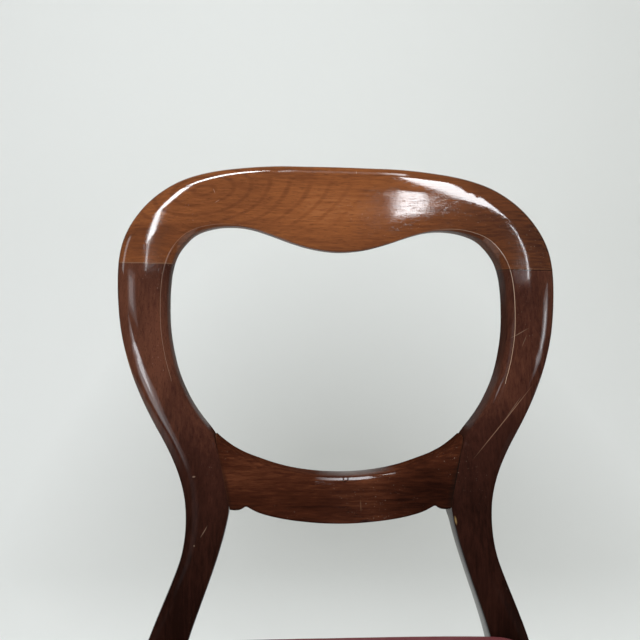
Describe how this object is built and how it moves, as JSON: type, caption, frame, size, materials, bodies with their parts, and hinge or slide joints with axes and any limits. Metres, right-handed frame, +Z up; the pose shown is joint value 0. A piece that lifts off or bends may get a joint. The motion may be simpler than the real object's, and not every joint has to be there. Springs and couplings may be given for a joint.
{
  "type": "balloon back chair",
  "caption": "Mahogany dining chair with an open balloon back carved from a crest, two posts and a cross rail, turned front legs, splayed back legs and a lift-out padded seat.",
  "frame": {"origin": "on the floor under the middle of the chair's box", "axes": "+X to the right of someone facing the chair, -Y the way the chair faces, +Z up"},
  "size_m": [0.452, 0.5156, 0.881],
  "materials": {
    "crest_wood": "polished",
    "post_wood": "polished",
    "cross_wood": "polished",
    "seat_rail_wood": "polished",
    "plain_wood": "raw",
    "screw_steel": "dull",
    "tack_steel": "blued",
    "webbing": "matte",
    "hessian": "matte",
    "stuffing": "matte",
    "seat_cloth": "matte",
    "dust_cloth": "matte"
  },
  "bodies": {
    "chair_frame": {"crest_rail": "crest_wood", "left_back_post": "post_wood", "right_back_post": "post_wood", "cross_rail": "cross_wood", "crest_dowels": "plain_wood", "back_seat_rail": "seat_rail_wood", "left_side_rail": "seat_rail_wood", "right_side_rail": "seat_rail_wood", "front_seat_rail": "seat_rail_wood", "left_front_leg": "post_wood", "right_front_leg": "post_wood", "left_front_block": "plain_wood", "right_front_block": "plain_wood", "left_back_block": "plain_wood", "right_back_block": "plain_wood", "block_screws": "screw_steel"},
    "drop_in_seat": {"seat_frame_front": "plain_wood", "seat_frame_back": "plain_wood", "seat_frame_left": "plain_wood", "seat_frame_right": "plain_wood", "webbing_long": "webbing", "webbing_cross": "webbing", "webbing_tacks": "tack_steel", "hessian": "hessian", "seat_pad": "stuffing", "seat_cover": "seat_cloth", "bottom_cloth": "dust_cloth", "cover_tacks": "tack_steel"}
  },
  "joints": [
    {"name": "seat_lift", "type": "slide", "parent": "chair_frame", "child": "drop_in_seat", "axis": [0, 0, 1], "range_m": [0, 0.12]}
  ]
}
